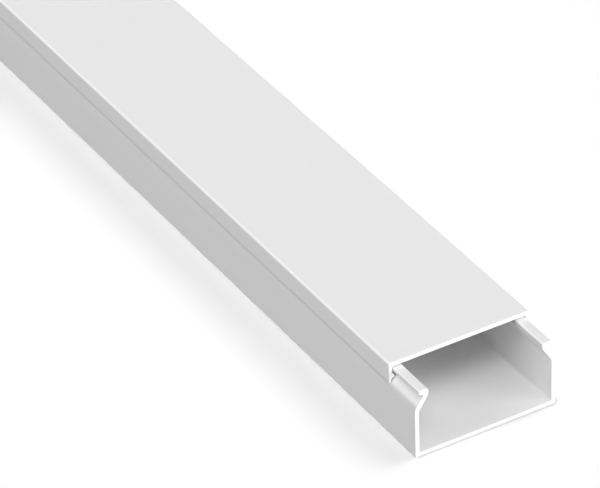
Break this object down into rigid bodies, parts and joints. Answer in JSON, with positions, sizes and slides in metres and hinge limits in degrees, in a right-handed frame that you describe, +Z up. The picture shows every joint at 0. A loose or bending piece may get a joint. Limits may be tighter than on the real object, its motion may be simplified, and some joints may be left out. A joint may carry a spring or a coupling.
{
  "type": "cord cover raceway",
  "caption": "Straight length of rigid plastic trunking for cables: an open channel with hooked walls, and a lid that clips over them and slides along.",
  "frame": {"origin": "middle of the flat underside of the base channel, which lies on the floor or is fixed to a wall", "axes": "+X along the trunking, towards the end where the base shows past the lid; +Y across it; +Z up, from the underside to the lid"},
  "size_m": [1.0115, 0.04, 0.0207],
  "materials": {
    "rigid_pvc": "white rigid PVC, extruded, satin, with sawn ends"
  },
  "bodies": {
    "base": {"base_channel": "rigid_pvc"},
    "cover": {"lid": "rigid_pvc"}
  },
  "joints": [
    {"name": "lid_slide", "type": "slide", "parent": "base", "child": "cover", "axis": [1, 0, 0], "range_m": [-0.9885, 1.0115]}
  ]
}
